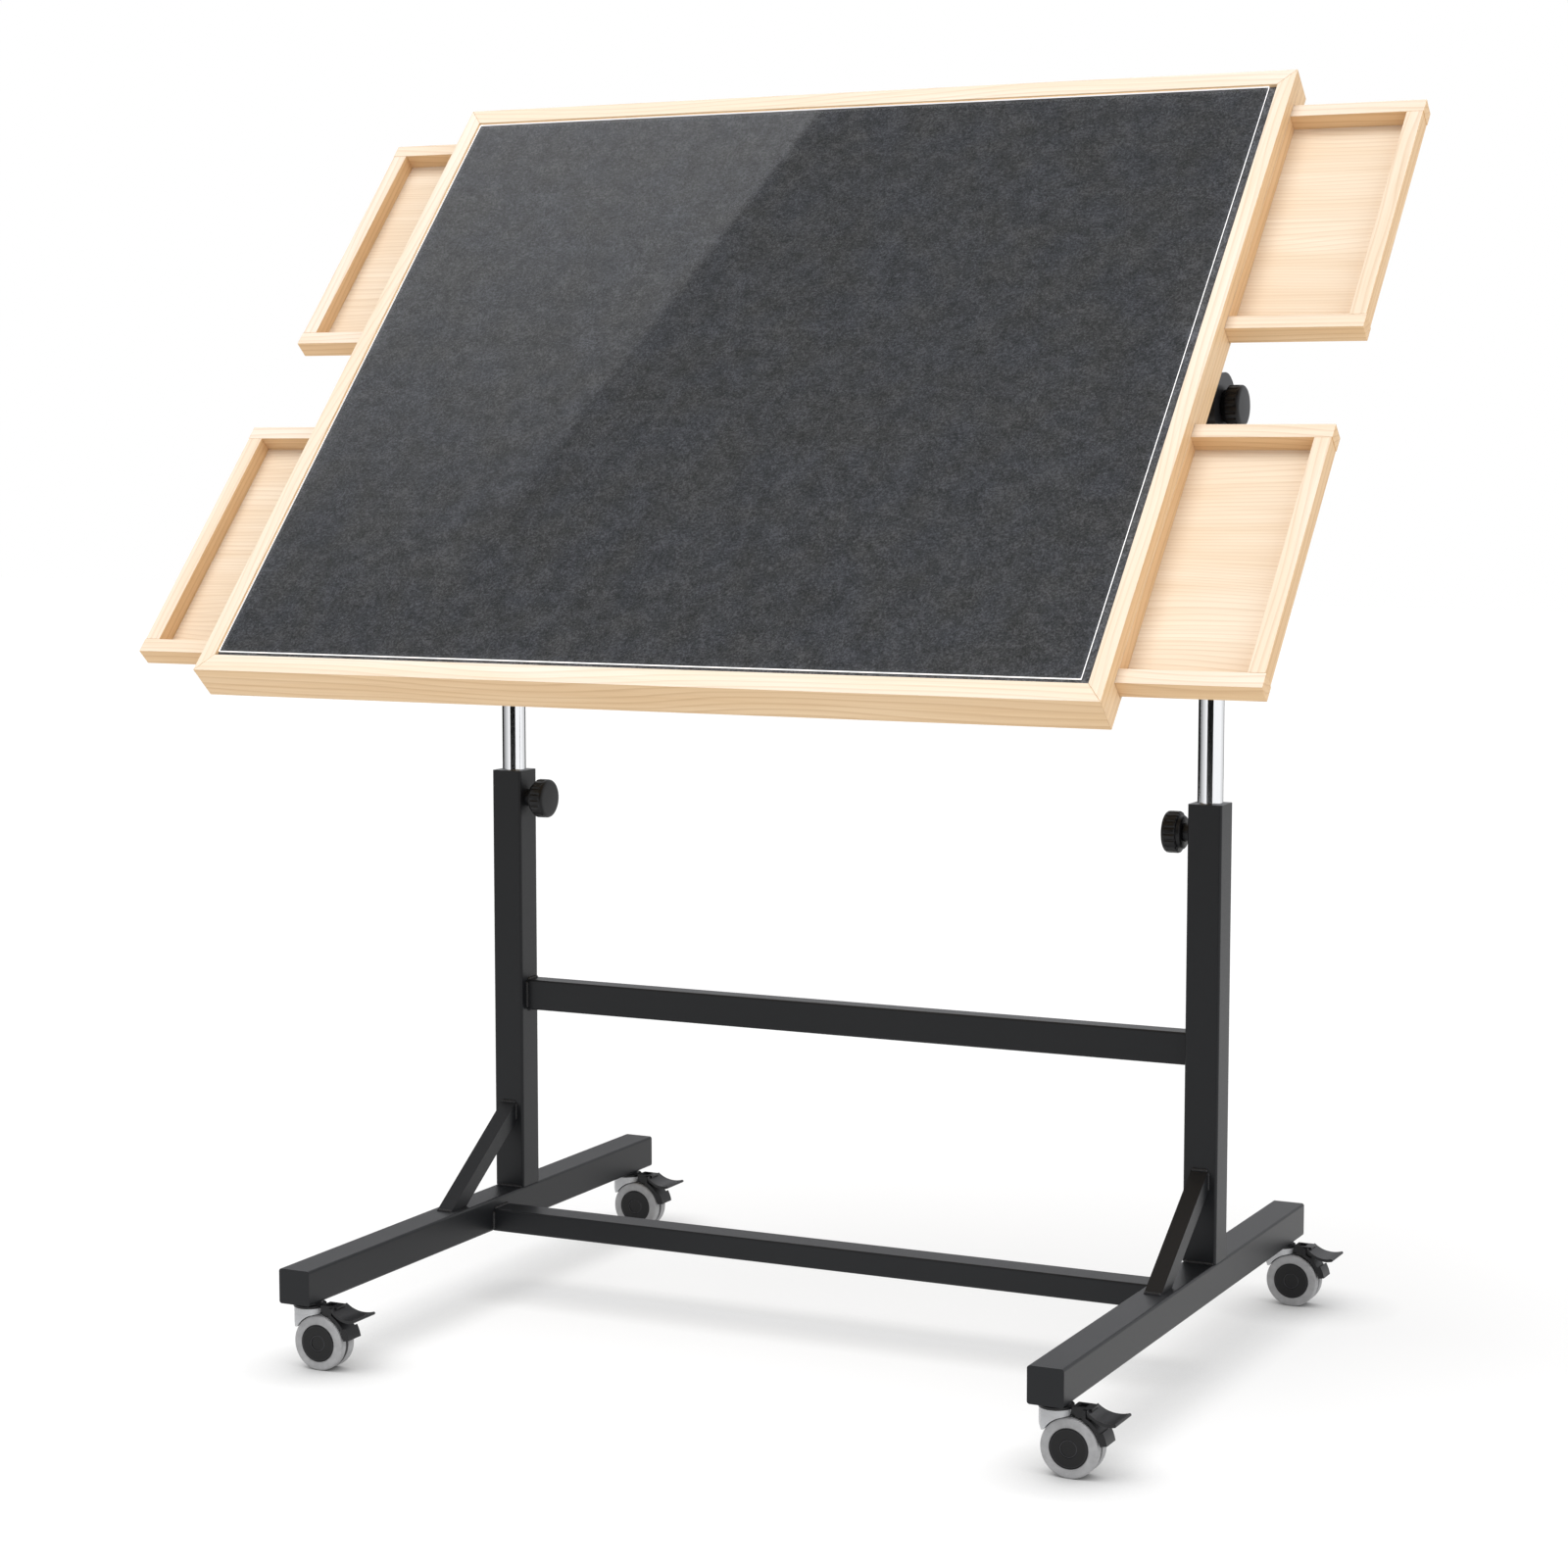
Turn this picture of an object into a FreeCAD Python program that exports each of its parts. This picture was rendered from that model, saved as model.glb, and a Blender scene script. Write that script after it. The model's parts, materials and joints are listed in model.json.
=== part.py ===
import FreeCAD, Part
import math
import os

# Jigsaw puzzle table: a tilting tray with four drawers on a height-adjustable wheeled stand.
# Millimetres. X runs across the table, +Y to the rear, +Z up, and the floor is at Z = 0.
# The origin is the floor point under the middle of the table with its drawers pulled out.

# Lengths and fits shared by the whole table
overrun = 1.0
body_gap = 0.3
running_clearance = 0.05
close_clearance = 0.1
screw_clearance = 0.25
plug_clearance = 0.2
along_share = 0.999

# Square tubes of the feet and posts
tube_side = 32.0
tube_wall = 2.0
tube_corner = 2.5
foot_bottom = 62.0
foot_length = 650.0
post_setback = 70.0
post_overhang = 84.0
post_length = 414.0
end_cap_thickness = 3.0
end_cap_plug = 14.0

# Crossbars between the two sides
bar_long_side = 30.0
bar_short_side = 22.0
bar_wall = 1.5
bar_corner = 2.0
upper_bar_rise = 225.0
lower_bar_advance = 59.0

# Slanting braces between posts and feet
brace_side = 16.0
brace_wall = 1.5
brace_rise = 85.5
brace_run = 124.0

# Guide bushes in the tops of the posts
bush_flange = 3.0
bush_length = 52.0

# Sliding risers and the heads on them
riser_diameter = 23.0
riser_wall = 1.5
riser_low_end = 408.0
pivot_height = 864.5
sleeve_diameter = 28.0
sleeve_length = 50.0
sleeve_roof = 4.0
sleeve_drop = 22.0
ear_radius = 30.0
ear_inner = -1.0
ear_outer = 9.0

# Clamping knobs
knob_drop = 24.5
knob_diameter = 38.0
knob_neck_diameter = 31.0
knob_neck_length = 4.0
knob_cap_length = 14.0
knob_rounding = 2.5
flute_radius = 1.7
flute_inset = 0.4
flute_land = 3.5
flute_count = 20
bolt_diameter = 8.0
bolt_head_diameter = 16.0
bolt_head_height = 3.5
bolt_in_knob = 12.0
boss_diameter = 17.0
boss_length = 7.0

# Tray: outer size, tilt and place over the stand
board_width = 890.0
board_depth = 750.0
board_thickness = 37.0
board_tilt = 47.5
board_shift = 72.5
board_slip = 15.0
board_face_rise = 70.0
side_rail_width = 15.5
end_rail_width = 19.0
side_rail_height = 15.0
bottom_thickness = 3.0
panel_thickness = 6.0
panel_drop = 6.0
groove_depth = 5.0
felt_thickness = 2.0
cover_thickness = 2.0
cover_side_margin = 8.0
cover_front_margin = 5.5
cover_edge_gap = 0.5

# Drawers and their bays
drawer_start = 57.0
bay_end_width = 13.0
drawer_wall = 15.2
drawer_front_set = 0.7
drawer_floor = 2.0
drawer_height_gap = 0.3
drawer_side_gap = 0.5
right_pull = 125.0
left_pull = 85.5
guide_width = 12.0
stop_width = 12.0

# Brackets that carry the tray
bracket_thickness = 3.5
bracket_flange = 32.0
bracket_span = 96.0
bracket_nose_radius = 17.0
block_inset = 4.0
block_width = 44.0
block_span = 84.0
screw_diameter = 4.0
screw_head_diameter = 8.0
screw_head_height = 2.4
screw_length = 20.0
screw_spread = 74.0
screw_row_gap = 16.0

# Casters, measured from the floor and from the swivel axis
caster_inset = 25.0
wheel_radius = 25.0
wheel_trail = 15.0
tyre_width = 9.0
tyre_inner = 2.0
tyre_bore = 17.0
tyre_rounding = 1.6
hub_recess_radius = 6.8
hub_recess = 0.6
hub_proud = 0.5
axle_radius = 3.0
blade_thickness = 3.4
blade_radius = 24.2
hood_gap = 0.7
hood_half_width = 11.3
hood_waist_height = 45.0
hood_waist_reach = 13.8
hood_low_height = 38.0
hood_low_reach = 9.0
cap_ring_radius = 11.8
cap_ring_height = 3.7
cap_flange_radius = 15.0
cap_flange_height = 2.3
socket_radius = 14.3
socket_floor = 50.7
pocket_radius = 6.2
pocket_floor = 48.7
stem_radius = 4.0
stem_end = 49.3
stem_nut_radius = 7.5
stem_nut_height = 6.0
stem_tail = 4.0
pin_radius = 1.5
pin_place = 22.0
pin_height = 54.0
lug_radius = 3.2
lug_half_width = 4.5
ear_eye_radius = 3.5
ear_eye_width = 3.2
saddle_start = 16.5
saddle_slot_start = 20.0
saddle_slot_end = 27.0
saddle_thickness = 1.8
pedal_start = 31.0
pedal_end = 58.0
pedal_dip_place = 48.0
pedal_step = 0.6
pedal_dip = 7.4
pedal_tip_drop = 6.4
pedal_root_half_width = 13.0
pedal_tip_half_width = 18.0
pedal_thickness = 2.8
shoe_gap = 2.0
shoe_thickness = 3.0
shoe_half_width = 10.0
shoe_start = 10.0
shoe_end = 66.0
shoe_heel_end = 30.0
shoe_heel_thickness = 3.0

# Places worked out from the lengths above
foot_top = foot_bottom + tube_side
post_top = foot_top + post_length
post_spacing = board_width - 2 * post_overhang
knob_height = post_top - knob_drop
board_middle_x = (left_pull - right_pull) / 2
stand_x = board_middle_x + board_shift
board_left = board_middle_x - board_width / 2
board_right = board_middle_x + board_width / 2
board_front = -board_slip - board_depth / 2
board_back = -board_slip + board_depth / 2
drawer_span = board_depth / 2 - end_rail_width - bay_end_width - drawer_start
board_under = board_face_rise - board_thickness
floor_top = board_under + bottom_thickness
panel_top = board_face_rise - panel_drop
panel_under = panel_top - panel_thickness
felt_top = panel_top + felt_thickness
strip_under = board_face_rise - side_rail_height
drawer_length = right_pull + drawer_wall
drawer_low = floor_top + drawer_height_gap
drawer_high = strip_under - drawer_height_gap
sides = (-1, 1)

along_x = FreeCAD.Vector(1, 0, 0)
along_y = FreeCAD.Vector(0, 1, 0)
along_z = FreeCAD.Vector(0, 0, 1)

os.makedirs("parts", exist_ok=True)


def point(x, y, z):
    return FreeCAD.Vector(x, y, z)


def about(middle, width):
    return (middle - width / 2, middle + width / 2)


def ordered(first, second):
    return (min(first, second), max(first, second))


def grown(limits, margin):
    return (limits[0] - margin, limits[1] + margin)


def block(xs, ys, zs):
    return Part.makeBox(xs[1] - xs[0], ys[1] - ys[0], zs[1] - zs[0], point(xs[0], ys[0], zs[0]))


def rod(radius, xs, y, z):
    return Part.makeCylinder(radius, xs[1] - xs[0], point(xs[0], y, z), along_x)


def pin(radius, x, ys, z):
    return Part.makeCylinder(radius, ys[1] - ys[0], point(x, ys[0], z), along_y)


def column(radius, x, y, zs):
    return Part.makeCylinder(radius, zs[1] - zs[0], point(x, y, zs[0]), along_z)


def rounded(shape, radius, direction):
    edges = []
    for edge in shape.Edges:
        run = edge.Vertexes[-1].Point - edge.Vertexes[0].Point
        if run.Length > radius and abs(run.dot(direction)) > run.Length * along_share:
            edges.append(edge)
    return shape.makeFillet(radius, edges)


def tube(xs, ys, zs, wall, corner, direction):
    outer = rounded(block(xs, ys, zs), corner, direction)
    hollow = []
    for limits, part in zip((xs, ys, zs), direction):
        hollow.append(grown(limits, overrun if part else -wall))
    return outer.cut(block(*hollow))


def prism(points, direction, length):
    corners = [point(*p) for p in points]
    face = Part.Face(Part.makePolygon(corners + corners[:1]))
    return face.extrude(direction * length)


def save(node, *shapes):
    shape = shapes[0] if len(shapes) == 1 else Part.makeCompound(list(shapes))
    shape.exportStep("parts/" + node + ".step")


def side_name(side):
    return "left" if side < 0 else "right"


def post_x(side):
    return stand_x + side * post_spacing / 2


def sideways(side, near, far):
    return ordered(post_x(side) + side * near, post_x(side) + side * far)


# Feet with stem holes, end caps, posts and braces


def foot(side):
    ys = grown(about(0, foot_length), -end_cap_thickness)
    zs = (foot_bottom, foot_top)
    shape = tube(about(post_x(side), tube_side), ys, zs, tube_wall, tube_corner, along_y)
    for end in sides:
        hole = (foot_bottom - overrun, foot_bottom + tube_wall + overrun)
        shape = shape.cut(column(stem_radius + screw_clearance, post_x(side), caster_y(end), hole))
    return shape


def caster_y(end):
    return end * (foot_length / 2 - caster_inset)


def end_cap(side, end):
    outer = end * foot_length / 2
    inner = outer - end * end_cap_thickness
    tip = inner - end * end_cap_plug
    xs = about(post_x(side), tube_side)
    zs = (foot_bottom, foot_top)
    plate = rounded(block(xs, ordered(outer, inner), zs), tube_corner, along_y)
    fit = -tube_wall - plug_clearance
    plug = block(grown(xs, fit), ordered(inner, tip), grown(zs, fit))
    return plate.fuse(plug)


def post(side):
    xs = about(post_x(side), tube_side)
    ys = about(post_setback, tube_side)
    shape = tube(xs, ys, (foot_top, post_top), tube_wall, tube_corner, along_z)
    hole = sideways(side, -tube_side / 2 - overrun, -tube_side / 2 + tube_wall + overrun)
    return shape.cut(rod(bolt_diameter / 2 + screw_clearance, hole, post_setback, knob_height))


def brace(side):
    slope = math.atan2(brace_rise, brace_run)
    front = post_setback - tube_side / 2

    def wedge(inset, width):
        drop = (brace_side - inset) / math.cos(slope)
        back = (brace_side - inset) / math.sin(slope)
        lift = inset / math.cos(slope)
        shift = inset / math.sin(slope)
        x = post_x(side) - width / 2
        corners = [(x, front, foot_top + brace_rise - lift), (x, front, foot_top + brace_rise - drop),
                   (x, front - brace_run + back, foot_top), (x, front - brace_run + shift, foot_top)]
        return prism(corners, along_x, width)

    return wedge(0, brace_side).cut(wedge(brace_wall, brace_side - 2 * brace_wall))


for side in sides:
    save(side_name(side) + "_foot_tube", foot(side))
    save(side_name(side) + "_post", post(side))
    save(side_name(side) + "_brace", brace(side))

save("foot_end_caps", *[end_cap(side, end) for side in sides for end in sides])

# Crossbars run between the facing walls of posts and feet
bar_x = (post_x(-1) + tube_side / 2, post_x(1) - tube_side / 2)
upper_back = post_setback + tube_side / 2
upper_ys = (upper_back - bar_short_side, upper_back)
upper_zs = about(foot_bottom + upper_bar_rise, bar_long_side)
save("upper_crossbar", tube(bar_x, upper_ys, upper_zs, bar_wall, bar_corner, along_x))
lower_ys = about(post_setback - lower_bar_advance, bar_long_side)
lower_zs = (foot_bottom, foot_bottom + bar_short_side)
save("lower_crossbar", tube(bar_x, lower_ys, lower_zs, bar_wall, bar_corner, along_x))


# Guide bushes, knob bosses and knobs


def bush(side):
    xs = about(post_x(side), tube_side)
    ys = about(post_setback, tube_side)
    fit = -tube_wall - plug_clearance
    flange = rounded(block(xs, ys, (post_top, post_top + bush_flange)), tube_corner, along_z)
    plug = block(grown(xs, fit), grown(ys, fit), (post_top - bush_length, post_top))
    shape = flange.fuse(plug)
    bore = (post_top - bush_length - overrun, post_top + bush_flange + overrun)
    shape = shape.cut(column(riser_diameter / 2 + running_clearance, post_x(side), post_setback, bore))
    hole = sideways(side, -tube_side / 2 - overrun, 0)
    return shape.cut(rod(bolt_diameter / 2 + screw_clearance, hole, post_setback, knob_height))


def boss(side):
    near = -tube_side / 2
    ring = rod(boss_diameter / 2, sideways(side, near, near - boss_length), post_setback, knob_height)
    hole = sideways(side, near + overrun, near - boss_length - overrun)
    return ring.cut(rod(bolt_diameter / 2 + running_clearance, hole, post_setback, knob_height))


def knob_body():
    neck = column(knob_neck_diameter / 2, 0, 0, (0, knob_neck_length))
    cap = column(knob_diameter / 2, 0, 0, (knob_neck_length, knob_neck_length + knob_cap_length))
    shape = neck.fuse(cap.makeFillet(knob_rounding, [cap.Edges[0], cap.Edges[2]]))
    reach = knob_diameter / 2 + flute_inset
    groove = (knob_neck_length - overrun, knob_neck_length + knob_cap_length - flute_land)
    for step in range(flute_count):
        turn = 2 * math.pi * step / flute_count
        x = reach * math.cos(turn)
        y = reach * math.sin(turn)
        shape = shape.cut(column(flute_radius, x, y, groove))
    return shape


def aimed(shape, base, direction):
    turn = FreeCAD.Rotation(along_z, direction)
    placed = shape.copy()
    placed.Placement = FreeCAD.Placement(base, turn).multiply(shape.Placement)
    return placed


def height_knob(side):
    near = tube_side / 2 + boss_length + body_gap
    stud_length = near - riser_diameter / 2 - body_gap
    shape = knob_body().fuse(column(bolt_diameter / 2, 0, 0, (-stud_length, knob_neck_length)))
    base = point(post_x(side) - side * near, post_setback, knob_height)
    return aimed(shape, base, along_x * -side)


def tilt_knob(side):
    depth = bolt_in_knob + body_gap
    hole = column(bolt_diameter / 2 + running_clearance, 0, 0, (-overrun, depth))
    base = point(post_x(side) + side * (ear_outer + body_gap), post_setback, pivot_height)
    return aimed(knob_body().cut(hole), base, along_x * side)


save("post_guide_bushes", *[bush(side) for side in sides])
save("knob_bosses", *[boss(side) for side in sides])
for side in sides:
    save(side_name(side) + "_height_knob", height_knob(side))
    save(side_name(side) + "_tilt_knob", tilt_knob(side))


# Risers and the heads that the tray turns on
sleeve_top = pivot_height - sleeve_drop
riser_top = sleeve_top - sleeve_roof


def riser(side):
    outer = column(riser_diameter / 2, post_x(side), post_setback, (riser_low_end, riser_top))
    inside = grown((riser_low_end, riser_top), overrun)
    return outer.cut(column(riser_diameter / 2 - riser_wall, post_x(side), post_setback, inside))


def tilt_head(side):
    x = post_x(side)
    sleeve_low = sleeve_top - sleeve_length
    sleeve = column(sleeve_diameter / 2, x, post_setback, (sleeve_low, sleeve_top))
    xs = sideways(side, ear_inner, ear_outer)
    ear = rod(ear_radius, xs, post_setback, pivot_height)
    wide = about(post_setback, 2 * ear_radius)
    narrow = about(post_setback, sleeve_diameter)
    corners = [(xs[0], wide[0], pivot_height), (xs[0], wide[1], pivot_height),
               (xs[0], narrow[1], sleeve_low), (xs[0], narrow[0], sleeve_low)]
    web = prism(corners, along_x, xs[1] - xs[0])
    shape = sleeve.fuse([ear, web])
    bore = (sleeve_low - overrun, riser_top)
    shape = shape.cut(column(riser_diameter / 2 + close_clearance, x, post_setback, bore))
    hole = rod(bolt_diameter / 2 + running_clearance, grown(xs, overrun), post_setback, pivot_height)
    return shape.cut(hole).removeSplitter()


for side in sides:
    save(side_name(side) + "_riser_tube", riser(side))
    save(side_name(side) + "_tilt_head", tilt_head(side))


# The tray is drawn level with its pivot on the X axis, then turned and lifted into place
board_place = FreeCAD.Placement(point(0, post_setback, pivot_height), FreeCAD.Rotation(along_x, board_tilt))


def save_tilted(node, *shapes):
    placed = []
    for shape in shapes:
        moved = shape.copy()
        moved.Placement = board_place.multiply(shape.Placement)
        placed.append(moved)
    save(node, *placed)


board_xs = (board_left, board_right)
board_ys = (board_front, board_back)
inner_xs = grown(board_xs, -side_rail_width)
inner_ys = (board_front + end_rail_width, board_back - end_rail_width)
panel = block(grown(inner_xs, groove_depth), grown(inner_ys, groove_depth), (panel_under, panel_top))


def bay_limits(end):
    return ordered(end * drawer_start - board_slip, end * (drawer_start + drawer_span) - board_slip)


def edge_xs(side, near, far):
    edge = board_left if side < 0 else board_right
    return ordered(edge - side * near, edge - side * far)


# The rim's pieces meet in mitres at its four corners
def end_rail(end):
    outer_y, inner_y = (board_ys[0], inner_ys[0]) if end < 0 else (board_ys[1], inner_ys[1])
    corners = [(board_xs[0], outer_y), (board_xs[1], outer_y), (inner_xs[1], inner_y), (inner_xs[0], inner_y)]
    return prism([(x, y, board_under) for x, y in corners], along_z, board_thickness).cut(panel)


def side_piece(side, outer_ys, facing_ys, zs):
    outer_x, inner_x = (board_xs[0], inner_xs[0]) if side < 0 else (board_xs[1], inner_xs[1])
    corners = [(outer_x, y) for y in outer_ys] + [(inner_x, y) for y in reversed(facing_ys)]
    return prism([(x, y, zs[0]) for x, y in corners], along_z, zs[1] - zs[0])


def side_rail(side):
    return side_piece(side, board_ys, inner_ys, (strip_under, board_face_rise)).cut(panel)


near_bay = grown(bay_limits(-1), drawer_side_gap)
far_bay = grown(bay_limits(1), drawer_side_gap)
post_zs = (board_under, strip_under)
bay_posts = []
for side in sides:
    bay_posts.append(side_piece(side, (board_ys[0], near_bay[0]), (inner_ys[0], near_bay[0]), post_zs))
    bay_posts.append(block(edge_xs(side, 0, side_rail_width), (near_bay[1], far_bay[0]), post_zs))
    bay_posts.append(side_piece(side, (far_bay[1], board_ys[1]), (far_bay[1], inner_ys[1]), post_zs))

bottom = block(board_xs, inner_ys, (board_under, floor_top))
for bay_post in bay_posts:
    bottom = bottom.cut(bay_post)


# Guides beside each drawer and a stop behind it, between the bottom and the top panel
def bay_guides(side):
    pieces = []
    reach = drawer_length + body_gap + stop_width
    zs = (floor_top, panel_under)
    for bay in (near_bay, far_bay):
        low = (bay[0] - guide_width, bay[0])
        if bay is near_bay:
            low = (inner_ys[0], bay[0])
        high = (bay[1], bay[1] + guide_width)
        if bay is far_bay:
            high = (bay[1], inner_ys[1])
        xs = edge_xs(side, side_rail_width, reach)
        pieces.append(block(xs, low, zs))
        pieces.append(block(xs, high, zs))
        pieces.append(block(edge_xs(side, drawer_length + body_gap, reach), bay, zs))
    return pieces


guides = bay_guides(-1) + bay_guides(1)
bracket_face = ear_inner - body_gap


def mounting_block(side):
    near = bracket_face - block_inset
    xs = sideways(side, near, near - block_width)
    return block(xs, about(-board_slip, block_span), (floor_top, panel_under))


def screw_places(side):
    middle = bracket_face - bracket_thickness - (bracket_flange - bracket_thickness) / 2
    places = []
    for row in sides:
        x = post_x(side) + side * (middle + row * screw_row_gap / 2)
        for end in sides:
            places.append((x, end * screw_spread / 2 - board_slip))
    return places


def screw(x, y):
    head_top = board_under - bracket_thickness
    head_low = head_top - screw_head_height
    head = column(screw_head_diameter / 2, x, y, (head_low, head_top))
    return head.fuse(column(screw_diameter / 2, x, y, (head_low, head_top + screw_length)))


def screw_holes(shape, side):
    head_top = board_under - bracket_thickness
    zs = grown((head_top, head_top + screw_length), overrun)
    for x, y in screw_places(side):
        shape = shape.cut(column(screw_diameter / 2 + screw_clearance, x, y, zs))
    return shape


def bracket(side):
    flange_zs = (board_under - bracket_thickness, board_under)
    span = about(-board_slip, bracket_span)
    flange = block(sideways(side, bracket_face, bracket_face - bracket_flange), span, flange_zs)
    flange = screw_holes(flange, side)
    xs = sideways(side, bracket_face, bracket_face - bracket_thickness)
    corners = [(xs[0], span[0], board_under), (xs[0], span[1], board_under),
               (xs[0], bracket_nose_radius, 0), (xs[0], -bracket_nose_radius, 0)]
    plate = prism(corners, along_x, bracket_thickness).fuse(rod(bracket_nose_radius, xs, 0, 0))
    shape = flange.fuse(plate).removeSplitter()
    return shape.cut(rod(bolt_diameter / 2 + close_clearance, grown(xs, overrun), 0, 0))


def pivot_bolt(side):
    inner = bracket_face - bracket_thickness
    far = ear_outer + body_gap + bolt_in_knob
    shank = rod(bolt_diameter / 2, sideways(side, inner - bolt_head_height, far), 0, 0)
    head = rod(bolt_head_diameter / 2, sideways(side, inner - bolt_head_height, inner), 0, 0)
    return shank.fuse(head)


for side in sides:
    bottom = screw_holes(bottom, side)

save_tilted("front_rail", end_rail(-1))
save_tilted("back_rail", end_rail(1))
save_tilted("left_side_rail", side_rail(-1))
save_tilted("right_side_rail", side_rail(1))
save_tilted("drawer_bay_posts", *bay_posts)
save_tilted("top_panel", panel)
save_tilted("felt_surface", block(inner_xs, inner_ys, (panel_top, felt_top)))
save_tilted("bottom_panel", bottom)
save_tilted("drawer_guides", *guides)
save_tilted("mounting_blocks", *[screw_holes(mounting_block(side), side) for side in sides])
save_tilted("left_tilt_bracket", bracket(-1))
save_tilted("right_tilt_bracket", bracket(1))
save_tilted("bracket_screws", *[screw(x, y) for side in sides for x, y in screw_places(side)])
save_tilted("pivot_bolts", *[pivot_bolt(side) for side in sides])

# The clear cover lies on the felt, against the left and back edges
cover_xs = (inner_xs[0] + cover_edge_gap, inner_xs[1] - cover_side_margin)
cover_ys = (inner_ys[0] + cover_front_margin, inner_ys[1] - cover_edge_gap)
cover_zs = (felt_top + body_gap, felt_top + body_gap + cover_thickness)
save_tilted("clear_cover", block(cover_xs, cover_ys, cover_zs))


# Each drawer is four strips around a thin floor, and it runs in and out along X
def drawer(side, end):
    pull = left_pull if side < 0 else right_pull
    ys = bay_limits(end)
    zs = (drawer_low, drawer_high)
    front = -pull
    back = drawer_length - pull
    near_strip = block(edge_xs(side, front, back), (ys[0], ys[0] + drawer_wall), zs)
    far_strip = block(edge_xs(side, front, back), (ys[1] - drawer_wall, ys[1]), zs)
    between = grown(ys, -drawer_wall)
    face = front + drawer_front_set
    outer_wall = block(edge_xs(side, face, face + drawer_wall), between, zs)
    inner_wall = block(edge_xs(side, back - drawer_wall, back), between, zs)
    floor_zs = (drawer_low, drawer_low + drawer_floor)
    floor = block(edge_xs(side, face + drawer_wall, back - drawer_wall), between, floor_zs)
    return (near_strip, far_strip, outer_wall, inner_wall), floor


for side in sides:
    for end in sides:
        name = side_name(side) + ("_front" if end < 0 else "_back") + "_drawer"
        strips, drawer_base = drawer(side, end)
        save_tilted(name + "_frame", *strips)
        save_tilted(name + "_floor", drawer_base)


# Casters: drawn around a swivel axis on Z, with the wheels trailing towards +X
def ring_part(inner, outer, ys, start, end):
    width = ys[1] - ys[0]
    centre = point(wheel_trail, 0, wheel_radius)
    slab = Part.makePlane(outer - inner, width, point(wheel_trail + inner, ys[0], wheel_radius))
    sector = slab.revolve(centre, -along_y, end - start)
    sector.rotate(centre, -along_y, start)
    return sector


cap_low = foot_bottom - cap_ring_height - cap_flange_height
cap_step = foot_bottom - cap_ring_height


def swivel_cap():
    ring = column(cap_ring_radius, 0, 0, (cap_step, foot_bottom))
    shape = ring.fuse(column(cap_flange_radius, 0, 0, (cap_low, cap_step)))
    return shape.cut(column(stem_radius + close_clearance, 0, 0, grown((cap_low, foot_bottom), overrun)))


def stem():
    nut_low = foot_bottom + tube_wall
    nut_high = nut_low + stem_nut_height
    shaft = column(stem_radius, 0, 0, (stem_end, nut_high + stem_tail))
    corners = []
    for step in range(6):
        turn = math.pi * step / 3
        corners.append((stem_nut_radius * math.cos(turn), stem_nut_radius * math.sin(turn), nut_low))
    return shaft.fuse(prism(corners, along_z, stem_nut_height))


def housing():
    socket_top = cap_low - body_gap
    full = (-hood_half_width, hood_half_width)
    half_blade = blade_thickness / 2
    lug = (-lug_half_width, lug_half_width)
    shape = column(socket_radius, 0, 0, (socket_floor, socket_top))
    shape = shape.fuse(column(pocket_radius, 0, 0, (pocket_floor, socket_floor)))
    corners = [(-socket_radius, socket_top), (-socket_radius, socket_floor),
               (-hood_waist_reach, hood_waist_height), (-hood_low_reach, hood_low_height),
               (wheel_trail, hood_low_height), (wheel_trail, socket_floor), (pocket_radius, socket_top)]
    hood = prism([(x, -hood_half_width, z) for x, z in corners], along_y, 2 * hood_half_width)
    hood = hood.common(column(socket_radius, 0, 0, (hood_low_height, socket_top)))
    hood = hood.cut(pin(wheel_radius + hood_gap, wheel_trail, grown(full, overrun), wheel_radius))
    blade = pin(blade_radius, wheel_trail, (-half_blade, half_blade), wheel_radius)
    rib = block((0, wheel_trail), (-half_blade, half_blade), (wheel_radius, socket_floor))
    rib_zs = (hood_low_height, wheel_radius + blade_radius)
    rib = rib.fuse(block((-hood_low_reach, wheel_trail), (-half_blade, half_blade), rib_zs))
    rib = rib.common(pin(wheel_radius + hood_gap, wheel_trail, (-half_blade, half_blade), wheel_radius))
    arm = block((pocket_radius, pin_place), lug, (pin_height - lug_radius, pin_height + lug_radius))
    shape = shape.fuse([hood, blade, rib, arm, pin(lug_radius, pin_place, lug, pin_height)])
    shape = shape.cut(column(cap_flange_radius + body_gap, 0, 0, (socket_top, foot_bottom)))
    bore = (stem_end - body_gap, socket_top + overrun)
    shape = shape.cut(column(stem_radius + running_clearance, 0, 0, bore))
    shape = shape.cut(pin(axle_radius + running_clearance, wheel_trail, grown(full, overrun), wheel_radius))
    pin_hole = pin(pin_radius + running_clearance, pin_place, grown(lug, overrun), pin_height)
    return shape.cut(pin_hole).removeSplitter()


def tyre(side):
    ys = ordered(side * tyre_inner, side * (tyre_inner + tyre_width))
    shape = pin(wheel_radius, wheel_trail, ys, wheel_radius)
    shape = shape.makeFillet(tyre_rounding, [shape.Edges[0], shape.Edges[2]])
    return shape.cut(pin(tyre_bore, wheel_trail, grown(ys, overrun), wheel_radius))


def hub_pair():
    reach = tyre_inner + tyre_width + hub_proud
    shape = pin(axle_radius, wheel_trail, (-reach + hub_recess, reach - hub_recess), wheel_radius)
    for side in sides:
        ys = ordered(side * (tyre_inner + body_gap), side * reach)
        disc = pin(tyre_bore - close_clearance, wheel_trail, ys, wheel_radius)
        face = ordered(side * (reach - hub_recess), side * (reach + overrun))
        shape = shape.fuse(disc.cut(pin(hub_recess_radius, wheel_trail, face, wheel_radius)))
    return shape


saddle_low = pin_height + lug_radius + body_gap
saddle_top = saddle_low + saddle_thickness


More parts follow.
